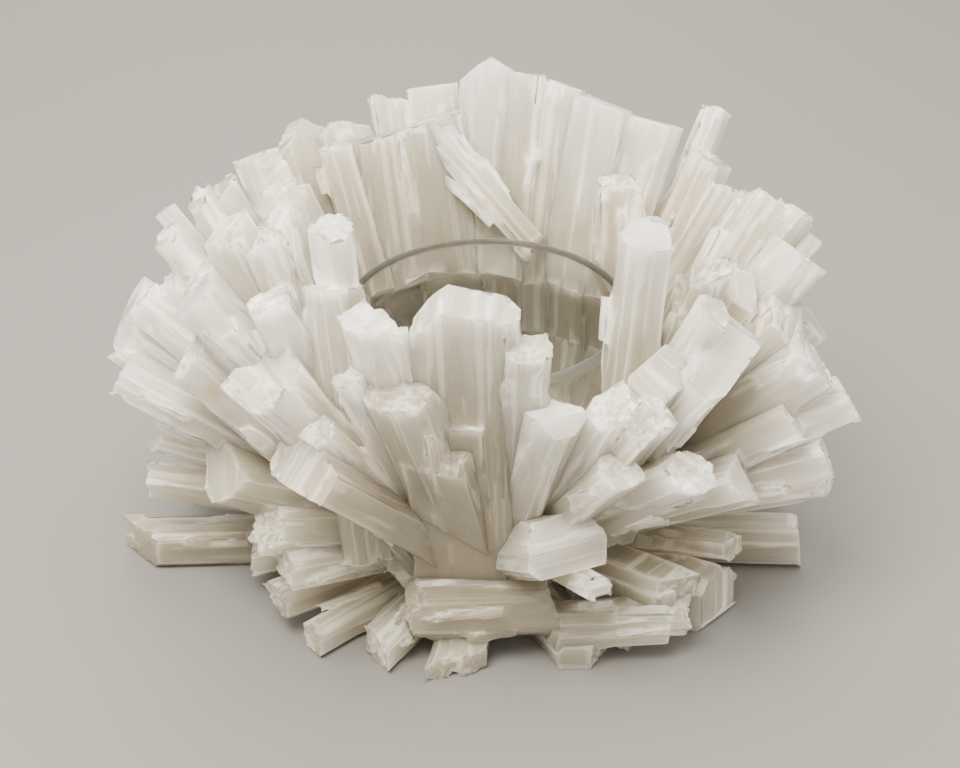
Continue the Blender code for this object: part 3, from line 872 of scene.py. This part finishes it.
def spar_material():
    """Satin spar: milky, silky along its fibres and frosted where it is broken."""
    material, tree, shader = new_material("satin_spar")
    place, height = place_and_height(tree)
    grain = mark(tree, "grain", "Vector")
    broken = mark(tree, "broken")
    clouds = fibre_noise(tree, grain, 13 * MM, 34 * MM)
    bundles = fibre_noise(tree, grain, 2.4 * MM, 60 * MM)
    single = fibre_noise(tree, grain, 0.8 * MM, 26 * MM)

    # Broken ends are a mosaic of small cleavage faces, greyer than the silky sides.
    mosaic = add_node(tree, "ShaderNodeTexVoronoi", {"Vector": place, "Scale": CLEAVAGES_PER_METRE})
    grey = spread_of(tree, mosaic.outputs["Color"], 0.0, 1.0, -0.34, -0.02)
    paleness = summed(
        tree,
        *paleness_with_painted_light(tree, place, height),
        *paleness_of_fibres(tree, clouds, bundles, single),
        product(tree, grey, broken))
    base = stained(tree, shade_ramp(tree, paleness), place, clouds)
    tree.links.new(base, shader.inputs["Base Color"])

    # Cleaved lengths tilt a little, and they, the small faces and the fibres catch the light.
    rough = spread_of(tree, single, 0.3, 0.7, 0.26, 0.42)
    tree.links.new(rough, shader.inputs["Roughness"])
    tilt = product(tree, mark(tree, "lift"), 0.45)
    facets = product(tree, product(tree, mosaic.outputs["Distance"], broken), 1.8)
    relief = summed(tree, tilt, facets, single)
    bump = add_node(tree, "ShaderNodeBump", {"Height": relief, "Strength": 0.5, "Distance": 0.35 * MM})
    tree.links.new(bump.outputs["Normal"], shader.inputs["Normal"])
    tree.links.new(bump.outputs["Normal"], shader.inputs["Coat Normal"])

    shader.subsurface_method = "BURLEY"
    shader.inputs["IOR"].default_value = 1.52
    shader.inputs["Subsurface Weight"].default_value = 0.9
    shader.inputs["Subsurface Radius"].default_value = (1.0, 0.93, 0.82)
    shader.inputs["Subsurface Scale"].default_value = 24 * MM
    shader.inputs["Coat Weight"].default_value = 0.8
    shader.inputs["Coat Roughness"].default_value = 0.16
    return material


# Glass and floor materials


def glass_material():
    """Clear blown glass with a ground rim."""
    material, tree, shader = new_material("clear_glass")
    shader.inputs["Base Color"].default_value = (0.992, 0.997, 0.992, 1.0)
    _, height = place_and_height(tree)
    ground_rim = spread_of(tree, height, GLASS_HIGH.z - 5 * MM, GLASS_HIGH.z - 1.5 * MM, 0.01, 0.85)
    tree.links.new(ground_rim, shader.inputs["Roughness"])
    shader.inputs["IOR"].default_value = 1.5
    shader.inputs["Transmission Weight"].default_value = 1.0
    return material


def floor_material():
    """Plain pale floor."""
    material, _, shader = new_material("pale_floor")
    shader.inputs["Base Color"].default_value = (0.33, 0.325, 0.315, 1.0)
    shader.inputs["Roughness"].default_value = 0.6
    return material


# Studio


FLOOR_REACH = 6.0
SKY_COLOUR = (1.0, 0.95, 0.88, 1.0)
SKY_STRENGTH = 0.68
WARM = (1.0, 0.935, 0.80)
LIGHT_AIM = Vector((0, 0, 0.12))

# Softboxes: where each one stands, how wide it is, and its power.
SOFTBOXES = {
    "front_softbox": ((-0.4, -0.6, 1.6), 0.9, 41),
    "top_softbox": ((0.1, 0.3, 1.6), 1.2, 16),
    "left_softbox": ((-1.6, 0.2, 0.9), 1.0, 6),
    "right_softbox": ((1.6, 0.0, 0.9), 1.0, 6),
    "back_softbox": ((-0.2, 1.7, 1.1), 1.2, 14),
}


def lay_floor():
    """The pale floor under the bowl."""
    mesh = bmesh.new()
    bmesh.ops.create_grid(mesh, x_segments=1, y_segments=1, size=FLOOR_REACH)
    floor = new_object("floor", mesh, floor_material())


def light_sky():
    """Soft light from all round."""
    world = bpy.data.worlds.new("studio")
    bpy.context.scene.world = world
    world.use_nodes = True
    sky = world.node_tree.nodes["Background"]
    sky.inputs["Color"].default_value = SKY_COLOUR
    sky.inputs["Strength"].default_value = SKY_STRENGTH


def hang_softboxes():
    """Warm square softboxes that face the bowl."""
    for name, (place, size, power) in SOFTBOXES.items():
        data = bpy.data.lights.new(name, "AREA")
        data.size = size
        data.energy = power
        data.color = WARM
        item = bpy.data.objects.new(name, data)
        bpy.context.scene.collection.objects.link(item)
        item.location = place
        item.rotation_euler = (LIGHT_AIM - Vector(place)).to_track_quat("-Z", "Y").to_euler()


def set_camera():
    """The camera, looking down on the bowl from the front."""
    data = bpy.data.cameras.new("camera")
    data.lens = CAMERA_LENS
    data.sensor_width = 36.0
    data.shift_x = CAMERA_SHIFT
    camera = bpy.data.objects.new("camera", data)
    bpy.context.scene.collection.objects.link(camera)
    camera.location = CAMERA_PLACE
    camera.rotation_euler = (math.pi / 2 - CAMERA_DROP, 0.0, 0.0)
    bpy.context.scene.camera = camera


def studio():
    """Floor, soft light and the camera."""
    lay_floor()
    light_sky()
    hang_softboxes()
    set_camera()


SPAR_TREE, SPAR_OWNERS = neighbour_tree()
spar = spar_material()
for cluster in sorted(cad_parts):
    if cluster != "glass_bowl":
        dressed_cluster(cluster, spar)
glass_bowl(glass_material())
studio()
